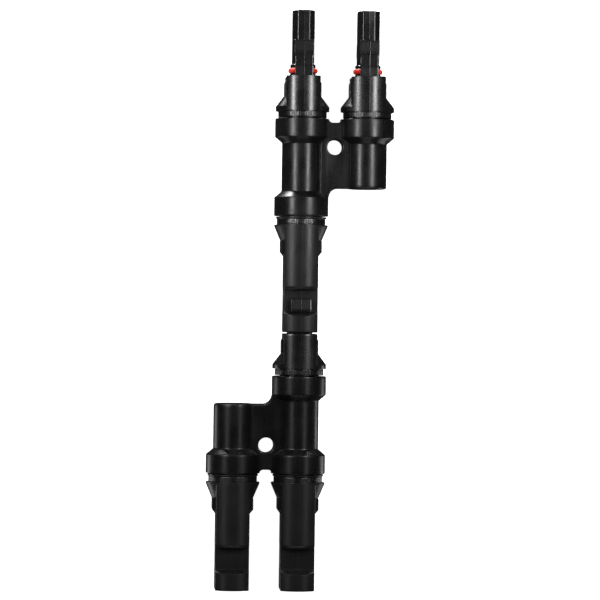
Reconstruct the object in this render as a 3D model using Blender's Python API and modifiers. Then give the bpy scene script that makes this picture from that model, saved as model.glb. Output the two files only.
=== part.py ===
"""A mated pair of branch connectors for solar cable.

Splitter A carries two socket plugs on its two legs and a pin shell on its far end. Splitter B is the same
body turned half a turn: its socket plug sits in splitter A's pin shell, and its two legs carry pin shells.
The pair lies flat: +Y runs along the legs towards splitter A's plugs, +X towards its side leg, and +Z up.
Every port is built in a frame of its own, at the centre of the body's collar face, with +Y pointing out.
"""

import math

import bmesh
import bpy
from mathutils import Matrix, Vector

# Driving dimensions, in metres. A length along a port is counted from the body's collar face.
CLEARANCE = 0.0003  # between pieces that touch
BEYOND = 0.0020  # how far a cutter runs past the shape that it cuts
OUTSIDE = 0.0120  # half the size of a cutter that clears the whole barrel

# The two bodies.
LEG_SPACING = 0.0229
BODY_LENGTH = 0.0343  # between the collar faces of the main leg
SIDE_LEG_LENGTH = 0.0245
SIDE_LEG_ROUND = 0.0007
TUBE_RADIUS = 0.0069
COLLAR_RADIUS = 0.0095
COLLAR_LENGTH = 0.0065
COLLAR_TAPER = 0.0021
COLLAR_CHAMFER = 0.0002
WEB_START = 0.0013
WEB_END = 0.0244
WEB_THICKNESS = 0.0065
WEB_FILLET = 0.0034
WEB_HOLE_RADIUS = 0.00268
WEB_HOLE_DEPTH = 0.00995
CAVITY_RADIUS = 0.0043

# What both kinds of housing share.
NECK_RADIUS = 0.0085
RIM_RADIUS = 0.00945
BARREL_RADIUS = 0.0093
BARREL_HALF_WIDTH = 0.0059
SPIGOT_RADIUS = 0.0068
SPIGOT_LENGTH = 0.0056
SEAL_DEPTH = 0.0028  # of the seal ring's centre, inside the body
SEAL_RING_RADIUS = 0.0065
SEAL_SECTION = 0.00042
SEAL_GROOVE_RADIUS = 0.0058
SEAL_GROOVE_HALF_WIDTH = 0.0008

# The socket plug.
PLUG_RIM_START = 0.0026
PLUG_RIM_END = 0.0041
FLARE_END = 0.0079
FLARE_RADIUS = 0.0066
KEY_HALF_WIDTH = 0.0065
KEY_HALF_HEIGHT = 0.0032
KEY_END = 0.0128
HOUSING_LENGTH = 0.0149  # to the barrel's shoulder
ORING_START = 0.0155
ORING_END = 0.0177
ORING_OUTER_RADIUS = 0.0052
ORING_RADIAL = 0.00075  # half the ring's section, across
ORING_GROOVE_RADIUS = 0.00345
FLANGE_RADIUS = 0.0045
FLANGE_END = 0.0188
PROBE_LENGTH = 0.0381  # to the probe's tip
PROBE_WIDTH = 0.0078
PROBE_CORNER = 0.0018
PROBE_BORE = 0.0030

# The pin shell.
SHELL_RIM_START = 0.0031
SHELL_RIM_END = 0.0036
WING_END = 0.0088
WING_RADIUS = 0.00725
SHELL_KEY_HALF_WIDTH = 0.00723
SHELL_KEY_END = 0.0126
SHELL_KEY_CHAMFER_END = 0.0147
SHELL_KEY_HEIGHT = 0.0084
SHELL_LENGTH = 0.0408  # to the mouth
SHELL_BORE = 0.0049
SHELL_BORE_FLOOR = 0.0175
SHELL_SEAT_RADIUS = 0.0055  # the mouth's wider bore, which the sealing ring sits in
SHELL_SEAT_FLOOR = 0.0366
WINDOW_FLOOR = 0.0063
WINDOW_START = 0.0257
WINDOW_END = 0.0339
WINDOW_SLOPE = 0.0010  # how far each end leans out by the time it clears the barrel
LATCH_SLOT = (0.0062, 0.0082)  # inner and outer face, from the port's axis
LATCH_SLOT_HALF_WIDTH = 0.0037
MATED_GAP = 0.0005  # from the mouth to the mating plug's shoulder

# The latch fingers.
LATCH_PIVOT = (0.0115, 0.0075)  # along the port, and from its axis
LATCH_THICKNESS = 0.0012
LATCH_STEM_WIDTH = 0.0063
LATCH_HEAD_WIDTH = 0.0070
LATCH_STEM = 0.0067  # end of the thick stem, from the pivot
LATCH_HOOK = 0.0110  # the hook's catching face, from the pivot
LATCH_HOOK_HEIGHT = 0.0014
LATCH_TIP = 0.0158
LATCH_POCKET = (0.00645, 0.00845)  # inner and outer face, from the port's axis
LATCH_POCKET_HALF_WIDTH = 0.0035
LATCH_POCKET_FLOOR = 0.0103

# Contacts and conductors.
PIN_RADIUS = 0.0020
PIN_ROOT = 0.0172
PIN_ROOT_RADIUS = 0.00285
PIN_TIP = 0.0348
SLEEVE_RADIUS = 0.00275
SLEEVE_BORE = 0.0025
SLEEVE_FLOOR = 0.0120
SLEEVE_SETBACK = 0.0008  # of its mouth, inside the probe's tip
GRIP_OUTER = 0.00235
GRIP_INNER = 0.00217
GRIP_START = 0.0260
GRIP_END = 0.0330
SHOULDER_RADIUS = 0.0036
SHOULDER_START = 0.0040
SHOULDER_END = 0.0055
CLIP_START = 0.0008
CLIP_END = 0.0036
CLIP_SEAT_RADIUS = 0.0045
CRIMP_RADIUS = 0.0031
CRIMP_BORE = 0.0025
CRIMP_LENGTH = 0.0053  # inside the body
CRIMP_FLOOR = 0.0034
ROD_RADIUS = 0.0022
BUSBAR_START = 0.0142
BUSBAR_END = 0.0212
BUSBAR_THICKNESS = 0.0028

MATED_LENGTH = SHELL_LENGTH + MATED_GAP + HOUSING_LENGTH
OVERALL_LENGTH = PROBE_LENGTH + BODY_LENGTH + MATED_LENGTH + BODY_LENGTH + SHELL_LENGTH

# Colour, roughness and metallic value of each finish.
FINISHES = {
    "body_plastic": ((0.012, 0.012, 0.013), 0.45, 0.0),
    "housing_plastic": ((0.016, 0.016, 0.017), 0.55, 0.0),
    "sealing_silicone": ((0.60, 0.035, 0.02), 0.50, 0.0),
    "seal_rubber": ((0.02, 0.02, 0.02), 0.70, 0.0),
    "tinned_copper": ((0.62, 0.60, 0.56), 0.35, 1.0),
    "bare_copper": ((0.72, 0.30, 0.16), 0.35, 1.0),
    "spring_steel": ((0.45, 0.45, 0.46), 0.35, 1.0),
}

FINE = 24  # sides of outer turned shapes
COARSE = 16  # sides of bores and small pieces

# Stands an outline drawn in XY up in the YZ plane, so that its X runs along the port and its Y away from it.
UPRIGHT = Matrix.Rotation(math.pi / 2, 4, "Z") @ Matrix.Rotation(math.pi / 2, 4, "X")

for old in list(bpy.data.objects):
    bpy.data.objects.remove(old, do_unlink=True)
PARTS = bpy.data.collections.new("solar_cable_connector")
CUTTERS = bpy.data.collections.new("cutters")
for group in (PARTS, CUTTERS):
    bpy.context.scene.collection.children.link(group)


def frame_at(name, parent, location, turn):
    """An empty that pieces are built in, turned about Z."""
    empty = bpy.data.objects.new(name, None)
    PARTS.objects.link(empty)
    empty.parent = parent
    empty.location = location
    empty.rotation_euler = (0, 0, turn)
    return empty


def in_frame(name, mesh, frame):
    """A shape in a frame. It is a cutter until finish() makes a piece of it."""
    item = bpy.data.objects.new(name, mesh)
    CUTTERS.objects.link(item)
    item.parent = frame
    item.hide_render = True
    item.display_type = "WIRE"
    return item


def turned(name, frame, profile, steps=FINE, x=0.0):
    """A shape turned about Y: profile holds (radius, y) points, down its outer side from the +Y end."""
    count = len(profile)
    is_ring = profile[0][0] > 0
    edges = [(i, (i + 1) % count) for i in range(count if is_ring else count - 1)]
    mesh = bpy.data.meshes.new(name)
    mesh.from_pydata([(radius, y, 0) for radius, y in profile], edges, [])
    item = in_frame(name, mesh, frame)
    item.location.x = x
    screw = item.modifiers.new("turn", "SCREW")
    screw.axis = "Y"
    screw.steps = screw.render_steps = steps
    screw.use_merge_vertices = True
    screw.merge_threshold = 0.00001
    return item


def cylinder(name, frame, radius, end, start, steps=FINE, x=0.0):
    return turned(name, frame, [(0, end), (radius, end), (radius, start), (0, start)], steps, x)


def block(name, frame, low, high, corner=0.0):
    """A box between two corners; corner chamfers its four edges along Y."""
    low, high = Vector(low), Vector(high)
    mesh = bpy.data.meshes.new(name)
    bm = bmesh.new()
    size = Matrix.Diagonal((*(high - low), 1))
    bmesh.ops.create_cube(bm, size=1, matrix=Matrix.Translation((low + high) / 2) @ size)
    if corner:
        spans = [(e, e.verts[1].co - e.verts[0].co) for e in bm.edges]
        along_y = [e for e, span in spans if abs(span.y) > abs(span.x) + abs(span.z)]
        bmesh.ops.bevel(bm, geom=along_y, offset=corner, segments=1, affect="EDGES")
    bm.to_mesh(mesh)
    bm.free()
    return in_frame(name, mesh, frame)


def layer(side, inner, outer):
    """The lower and upper height of a layer above the port's axis, or for side -1 below it."""
    return sorted((side * inner, side * outer))


def slab(name, frame, outline, thickness, rotation=(0, 0, 0)):
    """A flat outline in XY, thickened along Z about its plane, then turned."""
    curve = bpy.data.curves.new(name, "CURVE")
    curve.dimensions = "2D"
    curve.fill_mode = "BOTH"
    curve.extrude = thickness / 2
    spline = curve.splines.new("POLY")
    spline.points.add(len(outline) - 1)
    for point, (x, y) in zip(spline.points, outline):
        point.co = (x, y, 0, 1)
    spline.use_cyclic_u = True
    drawn = bpy.data.objects.new(name, curve)
    CUTTERS.objects.link(drawn)
    graph = bpy.context.evaluated_depsgraph_get()
    mesh = bpy.data.meshes.new_from_object(drawn.evaluated_get(graph))
    bpy.data.objects.remove(drawn)
    bpy.data.curves.remove(curve)
    bm = bmesh.new()
    bm.from_mesh(mesh)
    bmesh.ops.remove_doubles(bm, verts=bm.verts, dist=1e-6)
    bmesh.ops.recalc_face_normals(bm, faces=bm.faces)
    bm.to_mesh(mesh)
    bm.free()
    item = in_frame(name, mesh, frame)
    item.rotation_euler = rotation
    return item


def upright(side):
    """The rotation that stands an outline up above the port's axis, or for side -1 below it."""
    return (Matrix.Rotation(0 if side > 0 else math.pi, 4, "Y") @ UPRIGHT).to_euler()


def arc(centre, radius, start, end, steps):
    """Points of an arc, angles in degrees."""
    angles = [math.radians(start + (end - start) * i / steps) for i in range(steps + 1)]
    return [(centre[0] + radius * math.cos(a), centre[1] + radius * math.sin(a)) for a in angles]


def oval(centre, middle, radial, axial, sides):
    """The section of a sealing ring, as a turned profile."""
    angles = [math.tau * i / sides for i in range(sides)]
    return [(centre + radial * math.cos(a), middle - axial * math.sin(a)) for a in angles]


def combine(item, operation, *others):
    """Joins or cuts a shape, and welds the corners that nearly meet after each step."""
    for other in others:
        boolean = item.modifiers.new(other.name, "BOOLEAN")
        boolean.operation = operation
        boolean.solver = "EXACT"
        boolean.object = other
        weld = item.modifiers.new("weld", "WELD")
        weld.merge_threshold = 0.000005


def finish(item, name, finish_name):
    """Makes a shape a piece of the connector, with a material of its own."""
    item.name = item.data.name = name
    CUTTERS.objects.unlink(item)
    PARTS.objects.link(item)
    item.hide_render = False
    item.display_type = "TEXTURED"
    colour, roughness, metallic = FINISHES[finish_name]
    material = bpy.data.materials.new(name + "_" + finish_name)
    material.use_nodes = True
    shader = material.node_tree.nodes["Principled BSDF"]
    shader.inputs["Base Color"].default_value = (*colour, 1)
    shader.inputs["Roughness"].default_value = roughness
    shader.inputs["Metallic"].default_value = metallic
    item.data.materials.append(material)
    item.data.shade_smooth()
    item.data.set_sharp_from_angle(angle=math.radians(30))


# The neck and the grooved spigot that enters the body, which end both kinds of housing.
SPIGOT_PROFILE = [
    (NECK_RADIUS, CLEARANCE),
    (SPIGOT_RADIUS, CLEARANCE),
    (SPIGOT_RADIUS, SEAL_GROOVE_HALF_WIDTH - SEAL_DEPTH),
    (SEAL_GROOVE_RADIUS, SEAL_GROOVE_HALF_WIDTH - SEAL_DEPTH),
    (SEAL_GROOVE_RADIUS, -SEAL_GROOVE_HALF_WIDTH - SEAL_DEPTH),
    (SPIGOT_RADIUS, -SEAL_GROOVE_HALF_WIDTH - SEAL_DEPTH),
    (SPIGOT_RADIUS, -SPIGOT_LENGTH),
    (0, -SPIGOT_LENGTH),
]
# The seats of the contact's shoulder and of its clip, which end both kinds of bore.
SEAT_PROFILE = [
    (SHOULDER_RADIUS + CLEARANCE, SHOULDER_END + CLEARANCE),
    (SHOULDER_RADIUS + CLEARANCE, CLIP_END + CLEARANCE),
    (CLIP_SEAT_RADIUS, CLIP_END + CLEARANCE),
    (CLIP_SEAT_RADIUS, -SPIGOT_LENGTH - BEYOND),
    (0, -SPIGOT_LENGTH - BEYOND),
]
# The shoulder and the crimp barrel, which end both kinds of contact.
CRIMP_PROFILE = [
    (SHOULDER_RADIUS, SHOULDER_END),
    (SHOULDER_RADIUS, SHOULDER_START),
    (CRIMP_RADIUS, SHOULDER_START),
    (CRIMP_RADIUS, -CRIMP_LENGTH),
    (CRIMP_BORE, -CRIMP_LENGTH),
    (CRIMP_BORE, CRIMP_FLOOR),
    (0, CRIMP_FLOOR),
]


def barrel(name, frame, end, start):
    """A round barrel with a flat down each side."""
    item = cylinder(name + "_barrel", frame, BARREL_RADIUS, end, start)
    flats = block(name + "_flats", frame, (-BARREL_HALF_WIDTH, start - BEYOND, -OUTSIDE),
                  (BARREL_HALF_WIDTH, end + BEYOND, OUTSIDE))
    combine(item, "INTERSECT", flats)
    return item


def socket_housing(name, frame):
    """The plug with an eight-sided probe, a groove for its sealing ring and two pockets for its latches."""
    item = turned(name, frame, [
        (0, FLANGE_END),
        (FLANGE_RADIUS, FLANGE_END),
        (FLANGE_RADIUS, ORING_END),
        (ORING_GROOVE_RADIUS, ORING_END),
        (ORING_GROOVE_RADIUS, ORING_START),
        (FLANGE_RADIUS, ORING_START),
        (FLANGE_RADIUS, FLARE_END),
        (FLARE_RADIUS, FLARE_END),
        (RIM_RADIUS, PLUG_RIM_END),
        (RIM_RADIUS, PLUG_RIM_START),
        (NECK_RADIUS, PLUG_RIM_START),
        *SPIGOT_PROFILE,
    ])
    inside_rim = (PLUG_RIM_START + PLUG_RIM_END) / 2
    half_probe = PROBE_WIDTH / 2
    combine(
        item, "UNION",
        barrel(name, frame, HOUSING_LENGTH, inside_rim),
        block(name + "_keys", frame, (-KEY_HALF_WIDTH, FLARE_END - 0.0009, -KEY_HALF_HEIGHT),
              (KEY_HALF_WIDTH, KEY_END, KEY_HALF_HEIGHT)),
        block(name + "_probe", frame, (-half_probe, FLANGE_END - 0.0008, -half_probe),
              (half_probe, PROBE_LENGTH, half_probe), PROBE_CORNER),
    )
    combine(item, "DIFFERENCE", turned(name + "_bore", frame, [
        (0, PROBE_LENGTH + BEYOND),
        (PROBE_BORE, PROBE_LENGTH + BEYOND),
        (PROBE_BORE, SHOULDER_END + CLEARANCE),
        *SEAT_PROFILE,
    ], COARSE))
    for side in (1, -1):
        inner, outer = layer(side, *LATCH_POCKET)
        combine(item, "DIFFERENCE", block(
            f"{name}_pocket_{side}", frame, (-LATCH_POCKET_HALF_WIDTH, LATCH_POCKET_FLOOR, inner),
            (LATCH_POCKET_HALF_WIDTH, HOUSING_LENGTH + BEYOND, outer)))
    finish(item, name, "housing_plastic")


def latch(name, frame, side):
    """A springy finger with a hook near its tip. Its origin is on the line that it bends about."""
    half = LATCH_THICKNESS / 2
    tip_round = 0.0003
    outline = arc((0, 0), half, 90, 270, 6) + [
        (LATCH_STEM, -half),
        (LATCH_HOOK, -0.00025),
        (LATCH_TIP - 0.0007, 0.00005),
        (LATCH_TIP, tip_round),
        (LATCH_TIP, half),
        (LATCH_TIP - tip_round, 0.0009),
        (LATCH_HOOK + 0.0010, LATCH_HOOK_HEIGHT),
        (LATCH_HOOK, LATCH_HOOK_HEIGHT),
        (LATCH_HOOK, 0.00045),
        (LATCH_STEM + 0.0003, 0.00045),
        (LATCH_STEM, half),
    ]
    item = slab(name, frame, outline, LATCH_HEAD_WIDTH, upright(side))
    along, away = LATCH_PIVOT
    item.location = (0, along, side * away)
    for edge in (1, -1):
        low, high = layer(edge, LATCH_STEM_WIDTH / 2, LATCH_HEAD_WIDTH)
        combine(item, "DIFFERENCE", block(
            f"{name}_side_{edge}", frame, (low, along - BEYOND, -OUTSIDE),
            (high, along + LATCH_HOOK - half, OUTSIDE)))
    finish(item, name, "housing_plastic")


def sealing_ring(name, frame):
    """The red ring at the probe's root, oval in section."""
    axial = (ORING_END - ORING_START) / 2 - 0.0001
    profile = oval(ORING_OUTER_RADIUS - ORING_RADIAL, (ORING_START + ORING_END) / 2, ORING_RADIAL, axial, 8)
    finish(turned(name, frame, profile), name, "sealing_silicone")


def socket_contact(name, frame):
    """The sleeve that the mating pin enters, with its shoulder and crimp barrel."""
    mouth = PROBE_LENGTH - SLEEVE_SETBACK
    item = turned(name, frame, [
        (0, SLEEVE_FLOOR),
        (SLEEVE_BORE, SLEEVE_FLOOR),
        (SLEEVE_BORE, mouth),
        (SLEEVE_RADIUS, mouth),
        (SLEEVE_RADIUS, SHOULDER_END),
        *CRIMP_PROFILE,
    ], COARSE)
    finish(item, name, "tinned_copper")


def grip_sleeve(name, frame):
    """The slotted spring sleeve that grips the pin inside the socket contact."""
    item = turned(name, frame, [
        (GRIP_OUTER, GRIP_END),
        (GRIP_OUTER, GRIP_START),
        (GRIP_INNER, GRIP_START),
        (GRIP_INNER, GRIP_END),
    ], COARSE)
    half_slot, band = 0.0002, 0.0008
    for i in range(3):
        slot = block(f"{name}_slots_{i}", frame, (-SLEEVE_RADIUS, GRIP_START + band, -half_slot),
                     (SLEEVE_RADIUS, GRIP_END - band, half_slot))
        slot.rotation_euler.y = math.pi * (i + 0.25) / 3
        combine(item, "DIFFERENCE", slot)
    finish(item, name, "spring_steel")


def pin_shell(name, frame):
    """The hood round a pin: a window on each face bares the latched hook, behind a strap at the mouth."""
    item = turned(name, frame, [
        (0, WING_END),
        (WING_RADIUS, WING_END),
        (RIM_RADIUS, SHELL_RIM_END),
        (RIM_RADIUS, SHELL_RIM_START),
        (NECK_RADIUS, SHELL_RIM_START),
        *SPIGOT_PROFILE,
    ])
    inside_rim = (SHELL_RIM_START + SHELL_RIM_END) / 2
    chamfered = BARREL_HALF_WIDTH - 0.0002
    keys = slab(name + "_keys", frame, [
        (-SHELL_KEY_HALF_WIDTH, WING_END - 0.0008),
        (SHELL_KEY_HALF_WIDTH, WING_END - 0.0008),
        (SHELL_KEY_HALF_WIDTH, SHELL_KEY_END),
        (chamfered, SHELL_KEY_CHAMFER_END),
        (-chamfered, SHELL_KEY_CHAMFER_END),
        (-SHELL_KEY_HALF_WIDTH, SHELL_KEY_END),
    ], SHELL_KEY_HEIGHT)
    combine(item, "UNION", barrel(name, frame, SHELL_LENGTH, inside_rim), keys)
    combine(item, "DIFFERENCE", turned(name + "_bore", frame, [
        (0, SHELL_LENGTH + BEYOND),
        (SHELL_SEAT_RADIUS, SHELL_LENGTH + BEYOND),
        (SHELL_SEAT_RADIUS, SHELL_SEAT_FLOOR),
        (SHELL_BORE, SHELL_SEAT_FLOOR),
        (SHELL_BORE, SHELL_BORE_FLOOR),
        (PIN_ROOT_RADIUS + CLEARANCE, SHELL_BORE_FLOOR),
        (PIN_ROOT_RADIUS + CLEARANCE, SHOULDER_END + CLEARANCE),
        *SEAT_PROFILE,
    ], COARSE))
    above = 0.0100
    for side in (1, -1):
        window = slab(f"{name}_window_{side}", frame, [
            (WINDOW_START, WINDOW_FLOOR),
            (WINDOW_END, WINDOW_FLOOR),
            (WINDOW_END + WINDOW_SLOPE, above),
            (WINDOW_START - WINDOW_SLOPE, above),
        ], 2 * OUTSIDE, upright(side))
        inner, outer = layer(side, *LATCH_SLOT)
        slot = block(f"{name}_slot_{side}", frame, (-LATCH_SLOT_HALF_WIDTH, WINDOW_END - 0.0004, inner),
                     (LATCH_SLOT_HALF_WIDTH, SHELL_LENGTH + BEYOND, outer))
        combine(item, "DIFFERENCE", window, slot)
    finish(item, name, "housing_plastic")


def pin_contact(name, frame):
    """The pin with its rounded tip, shoulder and crimp barrel."""
    item = turned(name, frame, [
        (0, PIN_TIP),
        (0.45 * PIN_RADIUS, PIN_TIP),
        (0.80 * PIN_RADIUS, PIN_TIP - 0.20 * PIN_RADIUS),
        (PIN_RADIUS, PIN_TIP - 0.70 * PIN_RADIUS),
        (PIN_RADIUS, PIN_ROOT),
        (PIN_ROOT_RADIUS, PIN_ROOT),
        (PIN_ROOT_RADIUS, SHOULDER_END),
        *CRIMP_PROFILE,
    ], COARSE)
    finish(item, name, "tinned_copper")


def retaining_clip(name, frame):
    """The split, barbed ring that locks a contact into its housing."""
    wall = 0.00028
    narrow, wide = CRIMP_RADIUS + CLEARANCE, CLIP_SEAT_RADIUS - CLEARANCE
    item = turned(name, frame, [
        (narrow + wall, CLIP_END),
        (wide, CLIP_START),
        (wide - wall, CLIP_START),
        (narrow, CLIP_END),
    ], COARSE)
    split, slit, slit_end = 0.0005, 0.0003, 0.0026
    for i, (half, end) in enumerate(((split, CLIP_END + BEYOND), (slit, slit_end), (slit, slit_end))):
        gap = block(f"{name}_gap_{i}", frame, (0, CLIP_START - BEYOND, -half), (OUTSIDE, end, half))
        gap.rotation_euler.y = math.tau * i / 3
        combine(item, "DIFFERENCE", gap)
    finish(item, name, "spring_steel")


def body_seal(name, frame):
    """The rubber ring between a housing's spigot and the body."""
    profile = oval(SEAL_RING_RADIUS, -SEAL_DEPTH, SEAL_SECTION, SEAL_SECTION, 6)
    finish(turned(name, frame, profile), name, "seal_rubber")


def mirrored(profile):
    """The same turned profile, continued at the far end of the main leg."""
    return [(radius, -BODY_LENGTH - y) for radius, y in reversed(profile)]


def body(name, frame):
    """The T-shaped body: a main leg with a collar at each end, a side leg closed at its end, and a web."""
    collar = [
        (0, 0),
        (COLLAR_RADIUS - COLLAR_CHAMFER, 0),
        (COLLAR_RADIUS, -COLLAR_CHAMFER),
        (COLLAR_RADIUS, -COLLAR_LENGTH),
        (TUBE_RADIUS, -COLLAR_LENGTH - COLLAR_TAPER),
    ]
    item = turned(name, frame, collar + mirrored(collar))
    round_centre = (TUBE_RADIUS - SIDE_LEG_ROUND, SIDE_LEG_ROUND - SIDE_LEG_LENGTH)
    side_leg = turned(name + "_side_leg", frame, collar + arc(round_centre, SIDE_LEG_ROUND, 0, -90, 4)
                      + [(0, -SIDE_LEG_LENGTH)], x=LEG_SPACING)
    inside_leg = TUBE_RADIUS / 2
    fillet_centre = (COLLAR_RADIUS + WEB_FILLET, -WEB_END - WEB_FILLET)
    web = slab(name + "_web", frame, [
        (inside_leg, -WEB_START),
        (LEG_SPACING - inside_leg, -WEB_START),
        (LEG_SPACING - inside_leg, -WEB_END),
        *arc(fillet_centre, WEB_FILLET, 90, 180, 5),
        (inside_leg, fillet_centre[1]),
    ], WEB_THICKNESS)
    combine(item, "UNION", side_leg, web)

    port_radius, port_floor = SPIGOT_RADIUS + 0.0004, -SPIGOT_LENGTH - 0.0006
    port = [
        (0, BEYOND),
        (port_radius, BEYOND),
        (port_radius, port_floor),
        (CAVITY_RADIUS, port_floor),
    ]
    side_end = -BUSBAR_END - 0.0009
    half_slot = BUSBAR_THICKNESS / 2 + CLEARANCE
    hole = cylinder(name + "_hole", frame, WEB_HOLE_RADIUS, OUTSIDE, -OUTSIDE, COARSE)
    hole.rotation_euler.x = math.pi / 2
    hole.location = (LEG_SPACING / 2, -WEB_HOLE_DEPTH, 0)
    combine(
        item, "DIFFERENCE",
        turned(name + "_main_cavity", frame, port + mirrored(port)),
        turned(name + "_side_cavity", frame, port + [(CAVITY_RADIUS, side_end), (0, side_end)],
               x=LEG_SPACING),
        block(name + "_busbar_slot", frame, (0, -BUSBAR_END - CLEARANCE, -half_slot),
              (LEG_SPACING, -BUSBAR_START + CLEARANCE, half_slot)),
        hole,
    )
    finish(item, name, "body_plastic")


def rod(name, frame, x, end):
    """A copper conductor, from the crimp barrel of a leg's contact down to end."""
    finish(cylinder(name, frame, ROD_RADIUS, CRIMP_FLOOR - CLEARANCE, end, COARSE, x), name, "bare_copper")


def crossbar(name, frame):
    """The copper bar that joins the two rods, with an eye round each."""
    outer, inner = CAVITY_RADIUS - CLEARANCE, ROD_RADIUS + CLEARANCE
    item = cylinder(name, frame, outer, -BUSBAR_START, -BUSBAR_END, COARSE)
    far_eye = cylinder(name + "_far_eye", frame, outer, -BUSBAR_START, -BUSBAR_END, COARSE, LEG_SPACING)
    half, inset = BUSBAR_THICKNESS / 2, 0.0002
    bar = block(name + "_bar", frame, (inner / 2, inset - BUSBAR_END, -half),
                (LEG_SPACING - inner / 2, -BUSBAR_START - inset, half))
    combine(item, "UNION", bar, far_eye)
    top, bottom = BEYOND - BUSBAR_START, -BUSBAR_END - BEYOND
    for i, x in enumerate((0, LEG_SPACING)):
        combine(item, "DIFFERENCE", cylinder(f"{name}_eye_{i}", frame, inner, top, bottom, COARSE, x))
    finish(item, name, "bare_copper")


def socket_port(name, frame):
    socket_housing(name + "_housing", frame)
    latch(name + "_top_latch", frame, 1)
    latch(name + "_bottom_latch", frame, -1)
    sealing_ring(name + "_oring", frame)
    socket_contact(name + "_socket", frame)
    grip_sleeve(name + "_contact_sleeve", frame)


def pin_port(name, frame):
    pin_shell(name + "_shell", frame)
    pin_contact(name + "_pin", frame)


def splitter(name, y, turn, leg_port, link_port):
    """One branch connector: leg_port builds what its two legs carry, link_port what its far end carries."""
    frame = frame_at(name, None, (0, y, COLLAR_RADIUS), turn)
    body(name + "_body", frame)
    rod(name + "_main_rod", frame, 0, CLEARANCE - BODY_LENGTH - CRIMP_FLOOR)
    rod(name + "_side_rod", frame, LEG_SPACING, -BUSBAR_END - CLEARANCE)
    crossbar(name + "_crossbar", frame)
    ports = (
        ("main", (0, 0, 0), 0, leg_port),
        ("side", (LEG_SPACING, 0, 0), 0, leg_port),
        ("link", (0, -BODY_LENGTH, 0), math.pi, link_port),
    )
    for port, place, port_turn, build in ports:
        port_name = f"{name[-1]}_{port}"
        port_frame = frame_at(port_name, frame, place, port_turn)
        build(port_name, port_frame)
        retaining_clip(port_name + "_clip", port_frame)
        body_seal(port_name + "_seal", port_frame)


splitter("splitter_a", OVERALL_LENGTH / 2 - PROBE_LENGTH, 0, socket_port, pin_port)
splitter("splitter_b", SHELL_LENGTH - OVERALL_LENGTH / 2, math.pi, pin_port, socket_port)
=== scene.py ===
import math

import bmesh
import bpy
import numpy as np
from mathutils import Matrix, Vector


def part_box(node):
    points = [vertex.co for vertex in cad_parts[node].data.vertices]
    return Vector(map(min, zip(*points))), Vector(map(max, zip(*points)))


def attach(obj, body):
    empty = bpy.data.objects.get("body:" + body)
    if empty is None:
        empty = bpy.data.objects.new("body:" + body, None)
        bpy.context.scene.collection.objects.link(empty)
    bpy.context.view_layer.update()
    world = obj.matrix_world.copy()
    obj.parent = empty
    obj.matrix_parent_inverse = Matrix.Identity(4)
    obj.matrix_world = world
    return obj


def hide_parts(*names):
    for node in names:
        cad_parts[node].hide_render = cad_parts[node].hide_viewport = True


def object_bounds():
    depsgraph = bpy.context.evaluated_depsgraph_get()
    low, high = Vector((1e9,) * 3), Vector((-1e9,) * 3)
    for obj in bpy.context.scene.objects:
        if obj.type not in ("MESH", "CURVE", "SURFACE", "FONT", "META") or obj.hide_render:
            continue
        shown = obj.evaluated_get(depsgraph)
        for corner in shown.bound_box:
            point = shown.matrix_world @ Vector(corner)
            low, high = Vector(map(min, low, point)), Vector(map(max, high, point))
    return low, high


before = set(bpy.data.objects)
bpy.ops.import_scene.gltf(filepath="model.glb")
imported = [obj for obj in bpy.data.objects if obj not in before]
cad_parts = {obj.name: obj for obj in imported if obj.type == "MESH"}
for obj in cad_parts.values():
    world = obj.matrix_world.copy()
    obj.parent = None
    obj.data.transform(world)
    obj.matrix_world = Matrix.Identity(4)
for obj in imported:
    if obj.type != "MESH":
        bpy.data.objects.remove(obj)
cad_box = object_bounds()

# The two bodies. Each is one T-shaped moulding in black glass-filled nylon: a main leg with a collar at
# each end, a side leg that is closed at its end, and a web between them with a hole to hang it by.
# Sizes are in millimetres, in a frame at the centre of the main leg's two-port face, with +Y out of it.
MM = 0.001
LEG_SPACING = 22.9
BODY_LENGTH = 34.3
SIDE_LEG_LENGTH = 24.5
TUBE_RADIUS = 7.0
COLLAR_RADIUS = 9.5
COLLAR_LENGTH = 6.55
COLLAR_TAPER = 2.1
PORT_RADIUS, PORT_DEPTH = 7.2, 6.2
CAVITY_RADIUS = 4.3
WEB_START, WEB_END = 1.3, 24.4
WEB_HALF_THICKNESS = 3.25
WEB_FILLET = 3.4
WEB_BEVEL = 0.75
HOLE_RADIUS, HOLE_DEPTH, HOLE_LIP = 2.68, 9.95, 0.55
BLIND_CAVITY_DEPTH = 22.1
SLOT_HALF_HEIGHT, SLOT_START, SLOT_END = 1.7, 13.9, 21.5
SEAM_HEIGHT = 0.05


def softened(outline, reach, steps=3):
    """An outline with each corner cut back and bridged by a parabola.

    The parabola starts towards one neighbour and ends towards the other, at the reach from the corner or at
    0.45 of the side where that is less, and the corner itself pulls it as a control point.
    """
    outline = np.asarray(outline, float)
    reach = np.broadcast_to(np.asarray(reach, float), outline.shape[:-1])[..., None]

    def towards(neighbour):
        side = neighbour - outline
        length = np.maximum(np.linalg.norm(side, axis=-1, keepdims=True), 1e-9)
        return outline + side * np.minimum(reach / length, 0.45)

    a = towards(np.roll(outline, 1, -2))[..., None, :]
    b = towards(np.roll(outline, -1, -2))[..., None, :]
    s = np.linspace(0, 1, steps + 1)[:, None]
    bridged = (1 - s) ** 2 * a + 2 * s * (1 - s) * outline[..., None, :] + s**2 * b
    return bridged.reshape(*outline.shape[:-2], -1, outline.shape[-1])


def filled(stations, longest):
    """Stations with more between them, in equal steps along each side, so that none is over the longest."""
    runs = np.roll(stations, -1, 0) - stations
    counts = np.maximum(1, np.ceil(np.linalg.norm(runs, axis=1) / longest)).astype(int)
    start = np.repeat(np.arange(len(stations)), counts)
    within = np.arange(counts.sum()) - np.repeat(np.cumsum(counts) - counts, counts)
    return stations[start] + runs[start] * (within / counts[start])[:, None]


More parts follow.
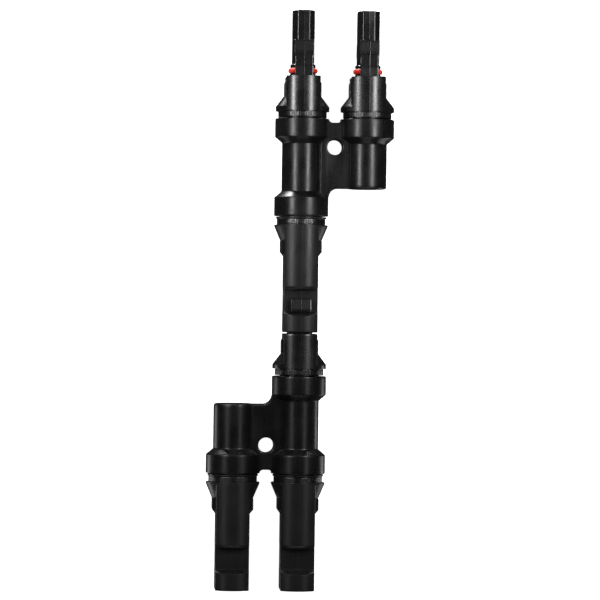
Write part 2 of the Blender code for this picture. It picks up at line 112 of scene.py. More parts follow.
def folded(angle):
    """The angle from the nearer side of the X axis, 0 to a quarter turn: the arcsine of the sine's size."""
    return np.arcsin(np.clip(np.abs(np.sin(angle)), 0, 1))


def crowded_angles(corners, columns):
    """Angles round a section, crowded at its corners, at equal steps of a running total.

    The density is 1 plus a narrow bell at each folded corner angle, given in degrees.
    """
    fine = np.linspace(0, math.tau, 7201)
    bell = (folded(fine)[:, None] - np.radians(corners)) / 0.03
    total = np.concatenate([[0], np.cumsum(1 + 5 * np.exp(-(bell**2)).sum(1))[:-1]])
    return np.interp(np.arange(columns) / columns * total[-1], total, fine)


def round_port(radius, y, angle):
    """Points of a skin round the Y axis: x is the radius times the cosine of the angle, and z the sine."""
    return np.stack(np.broadcast_arrays(radius * np.cos(angle), y, radius * np.sin(angle)), -1)


def solid(points, loop=False, caps=False):
    """An object whose faces join the grid points[row, column], in millimetres.

    Columns always go round. Rows meet too in a loop; otherwise the end rows close in poles or flat caps.
    """
    rows, columns = points.shape[:2]
    index = np.arange(rows * columns).reshape(rows, columns)
    near, far = (index, np.roll(index, -1, 0)) if loop else (index[:-1], index[1:])
    quads = np.stack([near, np.roll(near, -1, 1), np.roll(far, -1, 1), far], -1).reshape(-1, 4).tolist()
    ends = [index[0, ::-1].tolist(), index[-1].tolist()] if caps else []
    mesh = bpy.data.meshes.new("solid")
    mesh.from_pydata((points.reshape(-1, 3) * MM).tolist(), [], quads + ends)
    bm = bmesh.new()
    bm.from_mesh(mesh)
    bmesh.ops.remove_doubles(bm, verts=bm.verts, dist=1e-7)
    if bm.calc_volume(signed=True) < 0:
        bmesh.ops.reverse_faces(bm, faces=bm.faces)
    bm.to_mesh(mesh)
    bm.free()
    item = bpy.data.objects.new("solid", mesh)
    bpy.context.scene.collection.objects.link(item)
    return item


def carved(item, *steps):
    """The mesh of a solid after tools are joined to it or cut from it, one by one. All are used up."""
    for operation, tool in steps:
        boolean = item.modifiers.new(operation, "BOOLEAN")
        boolean.operation = operation
        boolean.solver = "EXACT"
        boolean.object = tool
        weld = item.modifiers.new("weld", "WELD")
        weld.merge_threshold = 0.000004
    graph = bpy.context.evaluated_depsgraph_get()
    mesh = bpy.data.meshes.new_from_object(item.evaluated_get(graph))
    for used in (item, *(tool for _, tool in steps)):
        bpy.data.objects.remove(used)
    return mesh


def bar(half_x, low_z, high_z, start, end, reach):
    """A straight bar along Y with softened edges, as a tool: its section is swept from start to end."""
    section = softened([(half_x, low_z), (half_x, high_z), (-half_x, high_z), (-half_x, low_z)], reach)
    y = np.array([start, end])[:, None]
    x, z = np.broadcast_to(section[None, :, :], (2, *section.shape)).transpose(2, 0, 1)
    return solid(np.stack([x, np.broadcast_to(y, x.shape), z], -1), caps=True)


def leg(outline, reach, x=0.0, columns=96, seam=0.0):
    """A turned leg: its outline of (radius, y) goes round the Y axis, then moves across by x.

    The seam is a ridge at the sides. Its height falls off as a bell of the folded angle, 0.014 wide.
    """
    run = filled(softened(outline, reach), 0.7)
    run = run[: np.flatnonzero(run[:, 0] < 1e-9)[-1] + 1] if outline[0][0] == 0 else run
    angle = crowded_angles([0.0], columns)
    ridge = seam * np.exp(-((folded(angle) / 0.014) ** 2)) * (run[:, :1] > TUBE_RADIUS - 0.5)
    points = round_port(run[:, :1] + ridge, run[:, 1:2], angle)
    return solid(points + (x, 0, 0), loop=outline[0][0] > 0)


def web():
    """The web: a rectangle in YZ, bevelled at its lower end, carried from one leg to the other along X.

    Its lower end leaves the main leg's collar in a quarter circle: the square root of the fillet squared less
    the distance to the circle's centre squared. Its upper end rises at both collars in the same way, and its
    thickness grows by small quarter circles where it meets the two tubes.
    """
    inside = TUBE_RADIUS / 2
    x = np.concatenate([np.linspace(inside, 7.4, 14), np.linspace(7.6, LEG_SPACING - 7.6, 40),
                        np.linspace(LEG_SPACING - 7.4, LEG_SPACING - inside, 14)])
    fillet_centre = COLLAR_RADIUS + WEB_FILLET
    short = np.clip(fillet_centre - x, 0, WEB_FILLET)
    low = -(WEB_END + WEB_FILLET) + np.sqrt(WEB_FILLET**2 - short**2)
    from_leg = np.minimum(x, LEG_SPACING - x)
    notch = 1.2
    rise = np.clip(COLLAR_RADIUS + notch - from_leg, 0, notch)
    high = -WEB_START + 0.75 * (notch - np.sqrt(notch**2 - rise**2)) / notch
    contact = math.sqrt(TUBE_RADIUS**2 - WEB_HALF_THICKNESS**2)
    root = 0.55
    left = np.clip(from_leg - contact, 0, root)
    half = WEB_HALF_THICKNESS + root - np.sqrt(root**2 - (root - left) ** 2)
    hold = 1.3
    one_side = [low, low + WEB_BEVEL, low + hold, high - hold, high]
    lengthwise = one_side + one_side[::-1]
    upright = [WEB_BEVEL - half, -half, -half, -half, -half, half, half, half, half, half - WEB_BEVEL]
    section = softened(np.stack([np.stack(lengthwise, -1), np.stack(upright, -1)], -1),
                       [0.15, 0.15, 0, 0, 0.5, 0.5, 0, 0, 0.15, 0.15], 4)
    x = np.broadcast_to(x[:, None], section.shape[:2])
    return solid(np.stack([x, section[..., 0], section[..., 1]], -1), caps=True)


def turned_body():
    """One body's mesh: legs and web joined, then the cavities, the crossbar's slot and the hole cut."""
    collar = [(0, 0), (COLLAR_RADIUS, 0), (COLLAR_RADIUS, -COLLAR_LENGTH),
              (TUBE_RADIUS, -COLLAR_LENGTH - COLLAR_TAPER)]
    reach = [0, 0.35, 0.30, 0.30]
    far_collar = [(radius, -BODY_LENGTH - y) for radius, y in reversed(collar)]
    main = leg(collar + far_collar, reach + reach[::-1], columns=112, seam=SEAM_HEIGHT)
    side = leg(collar + [(TUBE_RADIUS, -SIDE_LEG_LENGTH), (0, -SIDE_LEG_LENGTH)], reach + [0.9, 0],
               LEG_SPACING, columns=112, seam=SEAM_HEIGHT)
    beyond = 2.0
    port = [(0, beyond), (PORT_RADIUS, beyond), (PORT_RADIUS, -PORT_DEPTH), (CAVITY_RADIUS, -PORT_DEPTH)]
    far_port = [(radius, -BODY_LENGTH - y) for radius, y in reversed(port)]
    cavity = leg(port + far_port, 0, columns=64)
    blind = leg(port + [(CAVITY_RADIUS, -BLIND_CAVITY_DEPTH), (0, -BLIND_CAVITY_DEPTH)], 0, LEG_SPACING,
                columns=64)
    slot = bar(LEG_SPACING / 2, -SLOT_HALF_HEIGHT, SLOT_HALF_HEIGHT, -SLOT_END, -SLOT_START, 0.0)
    slot.data.transform(Matrix.Translation((LEG_SPACING / 2 * MM, 0, 0)))
    half = WEB_HALF_THICKNESS
    sweep = np.linspace(0, math.pi / 2, 6)
    edge = [(HOLE_RADIUS + HOLE_LIP * (1 - math.cos(a)), half - HOLE_LIP * (1 - math.sin(a))) for a in sweep]
    upper = [(0, half + 1), (HOLE_RADIUS + HOLE_LIP, half + 1), *edge[::-1]]
    hole = leg(upper + [(radius, -y) for radius, y in reversed(upper)], 0, columns=72)
    hole.data.transform(Matrix.Rotation(math.pi / 2, 4, "X"))
    hole.data.transform(Matrix.Translation((LEG_SPACING / 2 * MM, -HOLE_DEPTH * MM, 0)))
    return carved(main, ("UNION", side), ("UNION", web()), ("DIFFERENCE", cavity), ("DIFFERENCE", blind),
                  ("DIFFERENCE", slot), ("DIFFERENCE", hole))


def moulded_surface():
    """The group that every moulded piece shares: spark-eroded grain, uneven gloss, faint streaks and dust."""
    group = bpy.data.node_groups.new("moulded_surface", "ShaderNodeTree")
    for name, kind, value in (("Colour", "NodeSocketColor", (0.01, 0.01, 0.01, 1)),
                              ("Worn colour", "NodeSocketColor", (0.03, 0.03, 0.03, 1)),
                              ("Roughness", "NodeSocketFloat", 0.4),
                              ("Grain scale", "NodeSocketFloat", 3000.0)):
        group.interface.new_socket(name, in_out="INPUT", socket_type=kind).default_value = value
    for name, kind in (("Colour", "NodeSocketColor"), ("Roughness", "NodeSocketFloat"),
                       ("Height", "NodeSocketFloat")):
        group.interface.new_socket(name, in_out="OUTPUT", socket_type=kind)
    nodes, links = group.nodes, group.links
    given, result = nodes.new("NodeGroupInput"), nodes.new("NodeGroupOutput")
    place = nodes.new("ShaderNodeTexCoord").outputs["Object"]

    def noise(scale, detail):
        texture = nodes.new("ShaderNodeTexNoise")
        texture.inputs["Detail"].default_value = detail
        links.new(place, texture.inputs["Vector"])
        if isinstance(scale, float):
            texture.inputs["Scale"].default_value = scale
        else:
            links.new(scale, texture.inputs["Scale"])
        return texture.outputs["Fac"]

    def ranged(value, low, high, to_low, to_high):
        node = nodes.new("ShaderNodeMapRange")
        for socket, number in zip(list(node.inputs)[1:5], (low, high, to_low, to_high)):
            socket.default_value = number
        links.new(value, node.inputs[0])
        return node.outputs[0]

    def combined(operation, one, two):
        node = nodes.new("ShaderNodeMath")
        node.operation = operation
        for socket, value in zip(node.inputs, (one, two)):
            if isinstance(value, float):
                socket.default_value = value
            else:
                links.new(value, socket)
        return node.outputs[0]

    grain = noise(given.outputs["Grain scale"], 2.0)
    cloud = noise(140.0, 3.0)
    streaks = nodes.new("ShaderNodeTexNoise")
    stretch = nodes.new("ShaderNodeMapping")
    stretch.inputs["Scale"].default_value = (1500, 60, 1500)
    links.new(place, stretch.inputs["Vector"])
    links.new(stretch.outputs[0], streaks.inputs["Vector"])
    streaks.inputs["Scale"].default_value = 1.0
    dust = ranged(noise(2600.0, 0.0), 0.74, 0.80, 0.0, 1.0)
    mix = nodes.new("ShaderNodeMix")
    mix.data_type = "RGBA"
    worn = combined("ADD", ranged(cloud, 0.45, 0.75, 0.0, 0.35), ranged(grain, 0.5, 0.8, 0.0, 0.25))
    worn = combined("MAXIMUM", worn, dust)
    links.new(worn, mix.inputs[0])
    links.new(given.outputs["Colour"], mix.inputs[6])
    links.new(given.outputs["Worn colour"], mix.inputs[7])
    links.new(mix.outputs[2], result.inputs["Colour"])
    gloss = combined("ADD", ranged(cloud, 0.35, 0.65, -0.04, 0.04),
                     ranged(streaks.outputs["Fac"], 0.3, 0.7, -0.02, 0.03))
    gloss = combined("ADD", gloss, ranged(grain, 0.3, 0.7, -0.04, 0.06))
    links.new(combined("ADD", given.outputs["Roughness"], gloss), result.inputs["Roughness"])
    height = combined("ADD", grain, combined("MULTIPLY", streaks.outputs["Fac"], 0.15))
    links.new(height, result.inputs["Height"])
    return group


def plastic(name, colour, worn, roughness, grain_scale, grain_depth, shine=0.5):
    """A moulded finish: the shared group feeds one Principled shader, and its height goes through a bump."""
    material = bpy.data.materials.new(name)
    material.use_nodes = True
    nodes, links = material.node_tree.nodes, material.node_tree.links
    shader = nodes["Principled BSDF"]
    shader.inputs["Specular IOR Level"].default_value = shine
    surface = nodes.new("ShaderNodeGroup")
    surface.node_tree = MOULDED_SURFACE
    surface.inputs["Colour"].default_value = (*colour, 1)
    surface.inputs["Worn colour"].default_value = (*worn, 1)
    surface.inputs["Roughness"].default_value = roughness
    surface.inputs["Grain scale"].default_value = grain_scale
    bump = nodes.new("ShaderNodeBump")
    bump.inputs["Distance"].default_value = grain_depth * MM
    bump.inputs["Strength"].default_value = 1.0
    links.new(surface.outputs["Colour"], shader.inputs["Base Color"])
    links.new(surface.outputs["Roughness"], shader.inputs["Roughness"])
    links.new(surface.outputs["Height"], bump.inputs["Height"])
    links.new(bump.outputs["Normal"], shader.inputs["Normal"])
    return material


def piece(name, mesh, place, material, body, slot, *nodes):
    """A finished piece: the mesh moved to its place, smooth but for its sharp edges, on its CAD body."""
    mesh = mesh.copy()
    mesh.name = name
    mesh.transform(place)
    mesh.materials.clear()
    mesh.materials.append(material)
    mesh.shade_smooth()
    mesh.set_sharp_from_angle(angle=math.radians(32))
    item = bpy.data.objects.new(name, mesh)
    bpy.context.scene.collection.objects.link(item)
    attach(item, body)
    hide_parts(*nodes)


def frame_from(node, reach, facing):
    """The port frame of a housing: its far end lies reach millimetres ahead of the collar face, along Y."""
    low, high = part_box(node)
    face = high.y - reach * MM if facing > 0 else low.y + reach * MM
    turn = Matrix.Rotation(0 if facing > 0 else math.pi, 4, "Z")
    return Matrix.Translation(((low.x + high.x) / 2, face, (low.z + high.z) / 2)) @ turn


PLUG_REACH, SHELL_REACH = 38.1, 40.8
MOULDED_SURFACE = moulded_surface()
body_nylon = plastic("body_nylon", (0.0032, 0.0032, 0.0034), (0.006, 0.006, 0.0064), 0.30, 3000.0, 0.0045,
                     0.30)
body_mesh = turned_body()
piece("body_moulding_a", body_mesh, frame_from("a_main_housing", PLUG_REACH, 1), body_nylon,
      "splitter_a", "body_plastic", "splitter_a_body")
piece("body_moulding_b", body_mesh, frame_from("b_main_shell", SHELL_REACH, -1), body_nylon,
      "splitter_b", "body_plastic", "splitter_b_body")

# The three plugs. Each housing is one moulding: a spigot held in the body's collar, a ribbed neck, a flared
# skirt with a keyed barrel over it, a groove for the sealing ring, and an eight-sided probe bored through.
PLUG_PORTS = (("a_main", "splitter_a"), ("a_side", "splitter_a"), ("b_link", "splitter_b"))
BARREL_RADIUS, BARREL_HALF_WIDTH = 9.45, 5.9
KEY_HALF_WIDTH, KEY_HALF_HEIGHT = 6.5, 3.2


def smooth_least(k, *values):
    """The least of several radii, rounded where two are within k of each other.

    There the least is lowered by the square of what their difference leaves of k, over four times k.
    """
    least = values[0]
    for value in values[1:]:
        least = np.minimum(least, value) - np.maximum(k - np.abs(least - value), 0) ** 2 / (4 * k)
    return least


def part_line(angle, height, radius):
    """The ridge that the mould's joint leaves on top and below: a bell of the arc distance, 0.08 wide."""
    return height * np.exp(-(((math.pi / 2 - folded(angle)) * radius / 0.08) ** 2))


def slots(half_width, inner, outer, start, end, reach):
    """The two cuts, above and below a port's axis, of a straight slot between two heights."""
    return [("DIFFERENCE", bar(half_width, *sorted((side * inner, side * outer)), start, end, reach))
            for side in (1, -1)]


def plug_mesh():
    """The plug's skin, as rows round its axis from the spigot out to the tip and back along the bore.

    A row's radius at an angle is the greatest of a turned radius, the barrel (a circle with a flat on each
    side), the key blocks (a rectangle) and the probe (an octagon with slightly roofed faces).
    """
    rows = np.array([
        # y, turned radius, barrel radius, key half-width, probe half-width, corner reach
        (-5.6, 6.8, 0, 0, 0, 0.3), (-3.6, 6.8, 0, 0, 0, 0.1), (-3.6, 5.8, 0, 0, 0, 0.1),
        (-2.0, 5.8, 0, 0, 0, 0.1), (-2.0, 6.8, 0, 0, 0, 0.1), (0.3, 6.8, 0, 0, 0, 0.1),
        (0.3, 8.5, 0, 0, 0, 0.2), (2.6, 8.5, 0, 0, 0, 0.2), (2.6, 9.45, 9.45, 0, 0, 0.12),
        (4.1, 9.45, 9.45, 0, 0, 0.25), (6.9, 7.35, 9.45, 6.0, 0, 0), (7.9, 6.6, 9.45, 6.5, 0, 0.1),
        (7.9, 4.5, 9.45, 6.5, 0, 0), (12.6, 4.5, 9.45, 6.5, 0, 0.2), (13.1, 4.5, 9.45, 6.1, 0, 0.1),
        (13.1, 4.5, 9.45, 5.5, 0, 0), (14.9, 4.5, 9.45, 5.5, 0, 0.4), (14.9, 4.5, 4.0, 4.0, 0, 0),
        (15.8, 4.5, 0, 0, 0, 0.15), (15.8, 3.45, 0, 0, 0, 0.1), (17.95, 3.45, 0, 0, 0, 0.1),
        (17.95, 4.5, 0, 0, 3.8, 0.4), (19.05, 4.5, 0, 0, 3.9, 0.4), (19.05, 3.5, 0, 0, 3.9, 0),
        (38.1, 3.5, 0, 0, 3.9, 0.4), (38.1, 3.0, 0, 0, 0, 0.25), (5.8, 3.0, 0, 0, 0, 0),
        (5.8, 3.9, 0, 0, 0, 0), (3.9, 3.9, 0, 0, 0, 0), (3.9, 4.5, 0, 0, 0, 0), (-5.6, 4.5, 0, 0, 0, 0)])
    rows = filled(softened(rows[:, :5], rows[:, 5]), 0.4)
    y, turned, barrel, key, probe = (rows[:, i:i + 1] for i in range(5))
    angle = crowded_angles([26.5, 28.4, 50.6, 61.7, 90.0], 208)
    across, up = np.maximum(np.abs(np.cos(angle)), 1e-3), np.maximum(np.abs(np.sin(angle)), 1e-3)
    flats = smooth_least(0.35, barrel, barrel * BARREL_HALF_WIDTH / BARREL_RADIUS / across)
    keys = smooth_least(0.3, key / across, key * (KEY_HALF_HEIGHT / KEY_HALF_WIDTH) / up)
    chamfer = 1.088 * probe / np.cos(folded(angle) - math.pi / 4)
    roof = 1 + 0.016 * (1 - np.minimum(across / up / 0.54, 1))
    probes = smooth_least(0.25, probe / across, roof * probe / up, chamfer)
    radius = np.maximum.reduce([turned + 0 * angle, flats, keys, probes])
    ridge = part_line(angle, 0.03, radius) * ((y > 2.65) & (turned > 3.4) & (barrel + probe / 2 > 1.5))
    ridge = ridge * np.where(probe > 3, 0.4, 1)
    skin = solid(round_port(radius + ridge, y, angle), loop=True)
    return carved(skin, *slots(3.5, 6.45, 8.45, 10.3, 17.0, 0.3))


housing_nylon = plastic("housing_nylon", (0.0036, 0.0036, 0.0038), (0.007, 0.007, 0.0074), 0.25, 3600.0,
                        0.0009)
mesh = plug_mesh()
for port, body in PLUG_PORTS:
    piece(port + "_plug", mesh, frame_from(port + "_housing", PLUG_REACH, 1), housing_nylon,
          body, "housing_plastic", port + "_housing")

# The six latch fingers, two to a plug, in the same nylon. Each springs from a pocket in its plug's barrel
# and ends in a wide head, whose hook catches behind the strap at a shell's mouth.
LATCH_PIVOT = (11.5, 7.5)
STEM_HALF_WIDTH, HEAD_HALF_WIDTH = 3.15, 3.5


def finger_mesh():
    """A finger: its side outline in YZ, from the pivot, repeated across X with its faces bevelled.

    The half-width is the stem's, and then the head's from about 10.4 beyond the pivot. The bevel brings a
    point back towards the middle of the thickness by its drop, or by 0.4 of the way if that is less.
    """
    outline = [(-0.6, -0.35), (-0.35, -0.6), (6.7, -0.6), (11.0, -0.25), (15.1, 0.05), (15.8, 0.3),
               (15.8, 0.6), (15.5, 0.9), (12.0, 1.4), (11.0, 1.4), (11.0, 0.45), (7.0, 0.45), (6.7, 0.6),
               (-0.35, 0.6), (-0.6, 0.35)]
    reach = [0.1, 0.1, 0.3, 0.3, 0.2, 0.2, 0.1, 0.2, 0.25, 0.12, 0.12, 0.1, 0.1, 0.1, 0.1]
    outline = filled(softened(outline, reach), 0.35)
    y, z = outline[:, 0], outline[:, 1]
    half = np.interp(y, [10.35, 10.5], [STEM_HALF_WIDTH, HEAD_HALF_WIDTH])
    right = np.array([0, 0.02, 0.045, 0.09, 0.5, 0.88, 0.92, 0.985, 1])
    place = np.concatenate([-right[:0:-1], right])[:, None]
    drop = np.interp(np.abs(place), [0.92, 0.985, 1], [0, 0.075, 0.2])
    crest = np.interp(np.abs(place), [0, 0.02, 0.045], [0.03, 0.02, 0]) * (z > 0.3)
    middle = np.interp(y, [0, 6.7, 11, 12, 15.8], [0, 0, 0.3, 0.6, 0.45])
    halfway = 7.6
    along = halfway + (y - halfway) * (1 - 0.05 * drop)
    lowered = np.sign(z - middle) * np.minimum(drop, 0.4 * np.abs(z - middle))
    return solid(np.stack([place * half, along, z - lowered + crest], -1), caps=True)


tool = finger_mesh()
for port, body in PLUG_PORTS:
    root = frame_from(port + "_housing", PLUG_REACH, 1)
    for side, name in ((1, "_top"), (-1, "_bottom")):
        node = port + name + "_latch"
        lift = Matrix.Translation((0, LATCH_PIVOT[0] * MM, side * LATCH_PIVOT[1] * MM))
        flip = Matrix.Rotation(0 if side > 0 else math.pi, 4, "Y")
        piece(port + name + "_finger", tool.data, root @ lift @ flip, housing_nylon,
              node, "housing_plastic", node)
bpy.data.objects.remove(tool)

# The three sealing rings at the roots of the probes: red silicone, oval in section, with a fine flash line
# round the middle where the mould opened.
RING_RADIUS, RING_HALF_DEPTH = 4.45, 0.72
RING_CENTRE, RING_HALF_LENGTH = 16.85, 0.88


def ring_mesh():
    """A ring: its oval section turned round the port, with the flash as a bell of the angle, 0.09 wide."""
    around = np.arange(128)[None, :] / 128 * math.tau
    section = (np.arange(40)[:, None] / 40 * 2 - 1) * math.pi
    flash = 0.03 * np.exp(-((section / 0.09) ** 2))
    radius = RING_RADIUS + (RING_HALF_DEPTH + flash) * np.cos(section) + 0.03 * np.cos(section) ** 2
    return solid(round_port(radius, RING_CENTRE - RING_HALF_LENGTH * np.sin(section), around), loop=True)


red_silicone = plastic("red_silicone", (0.56, 0.014, 0.006), (0.60, 0.022, 0.012), 0.48, 1800.0, 0.004)
tool = ring_mesh()
for port, body in PLUG_PORTS:
    piece(port + "_red_ring", tool.data, frame_from(port + "_housing", PLUG_REACH, 1), red_silicone,
          body, "sealing_silicone", port + "_oring")
bpy.data.objects.remove(tool)

# The ribbed bands on the six necks, which fingers grip when a housing is pressed into its body.
SHELL_PORTS = (("a_link", "splitter_a"), ("b_main", "splitter_b"), ("b_side", "splitter_b"))
RIBS, RIB_COLUMNS, RIB_HEIGHT = 96, 8, 0.018
SHELL_BAND_SHIFT = 0.55


def neck_band():
    """A band round the neck: its outside waves as a cosine with one turn to a rib, faded at both edges."""
    around = np.arange(RIBS * RIB_COLUMNS)[None, :] / (RIBS * RIB_COLUMNS) * math.tau
    y = np.array([0.45, 0.6, 1.0, 1.5, 2.0, 2.35, 2.5, 2.5, 0.45])[:, None]
    depth = np.array([0, 0.8, 1, 1, 1, 0.8, 0, 0, 0])[:, None]
    base = np.array([8.46, 8.52, 8.52, 8.52, 8.52, 8.52, 8.46, 8.2, 8.2])[:, None]
    return solid(round_port(base + RIB_HEIGHT * depth * np.cos(RIBS * around), y, around), loop=True)


tool = neck_band()
for port, body in PLUG_PORTS:
    piece(port + "_neck_band", tool.data, frame_from(port + "_housing", PLUG_REACH, 1), housing_nylon,
          body, "housing_plastic")
for port, body in SHELL_PORTS:
    shift = Matrix.Translation((0, SHELL_BAND_SHIFT * MM, 0))
    piece(port + "_neck_band", tool.data, frame_from(port + "_shell", SHELL_REACH, -1) @ shift, housing_nylon,
          body, "housing_plastic")
bpy.data.objects.remove(tool)

# The three pin shells. Each is one moulding: spigot, neck, a thin rim with wings that taper to the keyed
# barrel, a hood over the pin, and a window on each face that ends at the strap the latch hooks behind.
def shell_mesh():
    """The shell's skin, as rows round its axis from the spigot out to the mouth and back along the bore.

    A row's radius at an angle is the greatest of a turned radius, the key blocks and the hood, which is a
    circle with a flat on each side and, along the windows, a flat floor above and below. The key blocks'
    faces slope down over their last 2.1.
    """
    rows = np.array([
        # y, turned radius, hood radius, key half-width, window floor, corner reach
        (-5.6, 6.8, 0, 0, 9.6, 0.3), (-3.6, 6.8, 0, 0, 9.6, 0.1), (-3.6, 5.8, 0, 0, 9.6, 0.1),
        (-2.0, 5.8, 0, 0, 9.6, 0.1), (-2.0, 6.8, 0, 0, 9.6, 0.1), (0.3, 6.8, 0, 0, 9.6, 0.1),
        (0.3, 8.9, 0, 0, 9.6, 0.1), (0.8, 8.9, 0, 0, 9.6, 0.15), (1.0, 8.5, 0, 0, 9.6, 0.1),
        (3.1, 8.5, 0, 0, 9.6, 0.15), (3.1, 9.45, 9.45, 0, 9.6, 0.12), (3.6, 9.45, 9.45, 0, 9.6, 0.15),
        (8.8, 7.25, 9.45, 0, 9.6, 0.05), (8.8, 5.5, 9.45, 7.23, 9.6, 0),
        (12.6, 5.5, 9.45, 7.23, 9.6, 0.2), (14.7, 5.5, 9.45, 5.7, 9.6, 0), (24.8, 5.5, 9.45, 5.5, 9.6, 0.08),
        (25.6, 5.5, 8.66, 5.5, 9.6, 0), (25.65, 5.5, 8.66, 5.5, 8.66, 0), (25.75, 5.5, 8.66, 5.5, 6.3, 0.25),
        (33.5, 5.5, 9.45, 5.5, 6.3, 0.25), (35.1, 5.5, 9.45, 5.5, 9.45, 0.15), (35.2, 5.5, 9.45, 5.5, 9.6, 0),
        (40.8, 5.5, 9.45, 5.5, 9.6, 0.45),
        (40.8, 5.5, 0, 0, 9.6, 0.25), (36.6, 5.5, 0, 0, 9.6, 0.2), (36.6, 4.9, 0, 0, 9.6, 0.2),
        (17.5, 4.9, 0, 0, 9.6, 0.2), (17.5, 3.15, 0, 0, 9.6, 0), (5.8, 3.15, 0, 0, 9.6, 0),
        (5.8, 3.9, 0, 0, 9.6, 0), (3.9, 3.9, 0, 0, 9.6, 0), (3.9, 4.5, 0, 0, 9.6, 0),
        (-5.6, 4.5, 0, 0, 9.6, 0)])
    rows = filled(softened(rows[:, :5], rows[:, 5]), 0.4)
    y, turned, hood, key, floor = (rows[:, i:i + 1] for i in range(5))
    angle = crowded_angles([30.2, 35.5, 46.9, 50.6, 90.0], 208)
    across, up = np.maximum(np.abs(np.cos(angle)), 1e-3), np.maximum(np.abs(np.sin(angle)), 1e-3)
    hoods = smooth_least(0.25, hood, np.minimum(hood, BARREL_HALF_WIDTH) / across)
    hoods = np.minimum(hoods, floor / up)
    key_height = (4.2 - 0.95 * np.clip(y - 12.6, 0, 2.1)) * np.minimum(key / 5.0, 1)
    keys = smooth_least(0.3, key / across, key_height / up)
    radius = np.maximum.reduce([turned + 0 * angle, hoods, keys])
    ridge = part_line(angle, 0.035, radius) * ((y > 3.2) & (hood > 8.6))
    skin = solid(round_port(radius + ridge, y, angle), loop=True)
    return carved(skin, *slots(3.7, 6.2, 8.2, 33.5, 43.0, 0.2))


shell_nylon = plastic("shell_nylon", (0.0092, 0.0092, 0.0096), (0.015, 0.015, 0.0155), 0.34, 3200.0, 0.005,
                      0.25)
mesh = shell_mesh()
for port, body in SHELL_PORTS:
    piece(port + "_hood", mesh, frame_from(port + "_shell", SHELL_REACH, -1), shell_nylon,
          body, "housing_plastic", port + "_shell")

# The contacts and what holds them: tinned copper pins and sockets, spring steel clips and slotted sleeves,
# black rubber rings under the collars, and bare copper rods joined by a crossbar inside each body.
def metal(name, colour, stain, roughness, metallic, grain_scale):
    """A metal or rubber finish: turning marks as noise squeezed along Y, and cloudy tarnish in the colour."""
    material = bpy.data.materials.new(name)
    material.use_nodes = True
    nodes, links = material.node_tree.nodes, material.node_tree.links
    shader = nodes["Principled BSDF"]
    shader.inputs["Metallic"].default_value = metallic
    place = nodes.new("ShaderNodeTexCoord").outputs["Object"]
    cloud, marks = nodes.new("ShaderNodeTexNoise"), nodes.new("ShaderNodeTexNoise")
    cloud.inputs["Scale"].default_value = 420.0
    links.new(place, cloud.inputs["Vector"])
    squeeze = nodes.new("ShaderNodeMapping")
    squeeze.inputs["Scale"].default_value = (grain_scale / 20, grain_scale, grain_scale / 20)
    links.new(place, squeeze.inputs["Vector"])
    links.new(squeeze.outputs[0], marks.inputs["Vector"])
    marks.inputs["Scale"].default_value = 1.0
    tint = nodes.new("ShaderNodeMix")
    tint.data_type = "RGBA"
    tint.inputs[6].default_value = (*colour, 1)
    tint.inputs[7].default_value = (*stain, 1)
    links.new(cloud.outputs["Fac"], tint.inputs[0])
    links.new(tint.outputs[2], shader.inputs["Base Color"])
    wear = nodes.new("ShaderNodeMapRange")
    wear.inputs["To Min"].default_value = roughness - 0.08
    wear.inputs["To Max"].default_value = roughness + 0.12
    links.new(marks.outputs["Fac"], wear.inputs["Value"])
    links.new(wear.outputs[0], shader.inputs["Roughness"])
    bump = nodes.new("ShaderNodeBump")
    bump.inputs["Distance"].default_value = 0.01 * MM
    links.new(marks.outputs["Fac"], bump.inputs["Height"])
    links.new(bump.outputs["Normal"], shader.inputs["Normal"])
    return material


FINISHES = {
    "tinned_copper": metal("tinned_copper", (0.66, 0.65, 0.62), (0.50, 0.48, 0.44), 0.30, 1.0, 9000),
    "bare_copper": metal("bare_copper", (0.72, 0.31, 0.17), (0.45, 0.18, 0.10), 0.34, 1.0, 5000),
    "spring_steel": metal("spring_steel", (0.46, 0.46, 0.47), (0.34, 0.34, 0.35), 0.32, 1.0, 7000),
    "seal_rubber": metal("seal_rubber", (0.016, 0.016, 0.016), (0.028, 0.028, 0.028), 0.62, 0.0, 3000),
}
CONTACT_NODES = {"_socket": "tinned_copper", "_pin": "tinned_copper", "_clip": "spring_steel",
                 "_contact_sleeve": "spring_steel", "_seal": "seal_rubber", "_rod": "bare_copper",
                 "_crossbar": "bare_copper"}
for name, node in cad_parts.items():
    finish = next((value for ending, value in CONTACT_NODES.items() if name.endswith(ending)), None)
    if finish:
        node.data.materials.clear()
        node.data.materials.append(FINISHES[finish])

# The stage: a pale floor that the pair lies on, two soft strips to the left and right that draw the long
# highlights, weaker strips further down, small lights that pick out the tapers, flats and ends, and a
# camera nearly straight above.
AXIS_HEIGHT = 0.0095


def pale_floor():
    """A bright square floor, 12 m across, just under the lowest point of the pair."""
    mesh = bpy.data.meshes.new("floor")
    size = 6.0
    corners = [(-size, -size, 0), (size, -size, 0), (size, size, 0), (-size, size, 0)]
    mesh.from_pydata(corners, [], [(0, 1, 2, 3)])
    floor = bpy.data.objects.new("floor", mesh)
    floor.location.z = cad_box[0].z - 0.0002
    material = bpy.data.materials.new("pale_floor")
    material.use_nodes = True
    shader = material.node_tree.nodes["Principled BSDF"]
    shader.inputs["Base Color"].default_value = (0.9, 0.9, 0.9, 1)
    shader.inputs["Roughness"].default_value = 0.9
    shader.inputs["Emission Color"].default_value = (1, 1, 1, 1)
    shader.inputs["Emission Strength"].default_value = 1.0
    mesh.materials.append(material)
    floor.visible_glossy = floor.visible_shadow = False
    bpy.context.scene.collection.objects.link(floor)


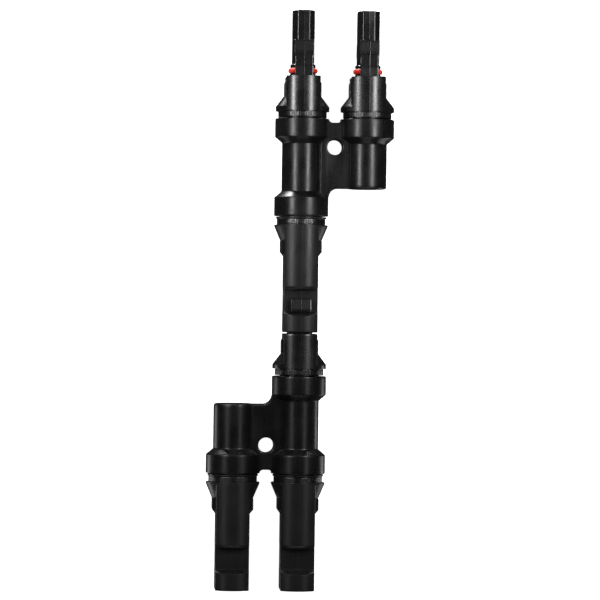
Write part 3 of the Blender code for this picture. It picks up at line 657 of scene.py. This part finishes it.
def strip(name, place, length, width, watts, aim=(0, 0, AXIS_HEIGHT)):
    """A soft rectangular light at a place, in metres and watts, aimed at a point."""
    data = bpy.data.lights.new(name, "AREA")
    data.shape = "RECTANGLE"
    data.size, data.size_y = length, width
    data.energy = watts
    light = bpy.data.objects.new(name, data)
    light.location = place
    away = Vector(place) - Vector(aim)
    light.rotation_euler = away.to_track_quat("Z", "Y").to_euler()
    bpy.context.scene.collection.objects.link(light)


pale_floor()
strip("strip_left", (-0.162, 0.094, 0.19), 0.152, 0.042, 0.50, (0, 0.094, AXIS_HEIGHT))
strip("strip_right", (0.119, 0.094, 0.19), 0.152, 0.040, 0.43, (0, 0.094, AXIS_HEIGHT))
strip("low_strip_left", (-0.162, -0.068, 0.19), 0.165, 0.05, 0.045, (0, -0.068, AXIS_HEIGHT))
strip("low_strip_right", (0.119, -0.068, 0.19), 0.165, 0.05, 0.042, (0, -0.068, AXIS_HEIGHT))
strip("over_tips", (0.03, 0.20, 0.31), 0.09, 0.06, 0.010, (0.011, 0.089, 0.018))
strip("over_link", (0.006, 0.028, 0.118), 0.02, 0.02, 0.0009, (0, -0.0015, 0.018))
strip("under_left", (-0.16, -0.085, -0.09), 0.14, 0.06, 0.07)
strip("under_right", (0.16, -0.085, -0.09), 0.14, 0.06, 0.07)
strip("taper_left", (-0.080, 0.250, -0.085), 0.04, 0.04, 0.50, (-0.003, 0.0, 0.016))
strip("taper_right", (0.085, 0.250, -0.070), 0.04, 0.04, 0.20, (0.002, 0.0, 0.017))
strip("taper_far_left", (-0.125, 0.190, -0.100), 0.06, 0.04, 0.035, (-0.027, -0.053, 0.016))
strip("flat_a_link", (-0.0079, 0.0017, -0.03), 0.0020, 0.028, 0.00006, (-0.0059, 0.0017, AXIS_HEIGHT))
strip("flat_b_main", (-0.0079, -0.0935, -0.03), 0.0020, 0.034, 0.00008, (-0.0059, -0.0900, AXIS_HEIGHT))
strip("flat_b_side", (-0.0300, -0.0935, -0.03), 0.0016, 0.034, 0.00008, (-0.0288, -0.0900, AXIS_HEIGHT))
strip("near_end", (0.0, -0.50, 0.04), 0.30, 0.06, 0.20)
strip("far_end", (0.0, 0.50, 0.06), 0.30, 0.06, 0.07)

world = bpy.data.worlds.new("studio")
world.use_nodes = True
sky = world.node_tree.nodes["Background"]
sky.inputs["Strength"].default_value = 1.0
ray = world.node_tree.nodes.new("ShaderNodeLightPath")
tone = world.node_tree.nodes.new("ShaderNodeMapRange")
LIGHT_ON_PIECES, BACKDROP = 0.03, 0.95
tone.inputs["To Min"].default_value = LIGHT_ON_PIECES
tone.inputs["To Max"].default_value = BACKDROP
world.node_tree.links.new(ray.outputs["Is Camera Ray"], tone.inputs["Value"])
world.node_tree.links.new(tone.outputs[0], sky.inputs["Color"])
bpy.context.scene.world = world
bpy.context.scene.view_settings.view_transform = "Standard"

CAMERA_DISTANCE = 1.06
SIDEWAYS = math.radians(3.2)
ROLL = math.radians(0.75)
camera_data = bpy.data.cameras.new("camera")
camera_data.lens = 180.7
camera_data.sensor_width = 36.0
camera = bpy.data.objects.new("camera", camera_data)
bpy.context.scene.collection.objects.link(camera)
bpy.context.scene.camera = camera
aim = Vector((0, 0, AXIS_HEIGHT))
turn = Matrix.Rotation(-SIDEWAYS, 4, "Y") @ Matrix.Rotation(ROLL, 4, "Z")
camera.matrix_world = Matrix.Translation(aim) @ turn @ Matrix.Translation((0, 0, CAMERA_DISTANCE))
